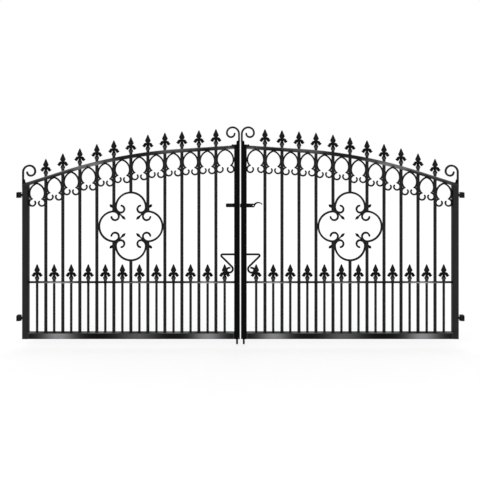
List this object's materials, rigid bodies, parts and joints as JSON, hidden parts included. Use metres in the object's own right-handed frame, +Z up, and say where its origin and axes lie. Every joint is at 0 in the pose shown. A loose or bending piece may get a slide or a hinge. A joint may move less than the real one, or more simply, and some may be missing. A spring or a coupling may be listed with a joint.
{
  "type": "double driveway gate",
  "caption": "Arched double-leaf driveway gate with spear-headed bars, a ring cresting, a quatrefoil of scrolls in each leaf, drop bolts and a sliding latch.",
  "frame": {"origin": "centre of the flat outer face of the lower left hinge bracket, where it meets the post", "axes": "+X across the gate from the left leaf to the right leaf, +Z up, -Y the street side that the picture shows; both leaves open towards +Y"},
  "size_m": [3.1395, 0.0675, 1.5433],
  "materials": {
    "ironwork": "black satin powder coat"
  },
  "bodies": {
    "root": {"left_lower_bracket": "ironwork", "left_upper_bracket": "ironwork", "right_lower_bracket": "ironwork", "right_upper_bracket": "ironwork"},
    "left_leaf": {"left_hinge_stile": "ironwork", "left_meeting_stile": "ironwork", "left_bottom_rail": "ironwork", "left_top_rail": "ironwork", "left_dog_bar_panel": "ironwork", "left_quatrefoil": "ironwork", "left_hinge_scroll": "ironwork", "left_meeting_scroll": "ironwork", "left_lower_hinge_eye": "ironwork", "left_upper_hinge_eye": "ironwork", "left_upright_1": "ironwork", "left_upright_2": "ironwork", "left_upright_3": "ironwork", "left_upright_4": "ironwork", "left_upright_8": "ironwork", "left_upright_9": "ironwork", "left_upright_10": "ironwork", "left_upright_11": "ironwork", "left_latch_keeper": "ironwork"},
    "right_leaf": {"right_hinge_stile": "ironwork", "right_meeting_stile": "ironwork", "right_bottom_rail": "ironwork", "right_top_rail": "ironwork", "right_dog_bar_panel": "ironwork", "right_quatrefoil": "ironwork", "right_hinge_scroll": "ironwork", "right_meeting_scroll": "ironwork", "right_lower_hinge_eye": "ironwork", "right_upper_hinge_eye": "ironwork", "right_upright_1": "ironwork", "right_upright_2": "ironwork", "right_upright_3": "ironwork", "right_upright_4": "ironwork", "right_upright_8": "ironwork", "right_upright_9": "ironwork", "right_upright_10": "ironwork", "right_upright_11": "ironwork", "right_latch_guide": "ironwork"},
    "left_drop_bolt": {"left_drop_bolt": "ironwork"},
    "right_drop_bolt": {"right_drop_bolt": "ironwork"},
    "latch_bolt": {"latch_bolt": "ironwork"}
  },
  "joints": [
    {"name": "left_leaf_swing", "type": "hinge", "parent": "root", "child": "left_leaf", "pos_m": [0.0165, 0, 0], "axis": [0, 0, 1], "range_deg": [0, 90]},
    {"name": "right_leaf_swing", "type": "hinge", "parent": "root", "child": "right_leaf", "pos_m": [3.123, 0, 0], "axis": [0, 0, -1], "range_deg": [0, 90]},
    {"name": "left_drop_bolt_lift", "type": "slide", "parent": "left_leaf", "child": "left_drop_bolt", "axis": [0, 0, 1], "range_m": [0, 0.1]},
    {"name": "right_drop_bolt_lift", "type": "slide", "parent": "right_leaf", "child": "right_drop_bolt", "axis": [0, 0, 1], "range_m": [0, 0.1]},
    {"name": "latch_slide", "type": "slide", "parent": "right_leaf", "child": "latch_bolt", "axis": [1, 0, 0], "range_m": [-0.035, 0]}
  ]
}
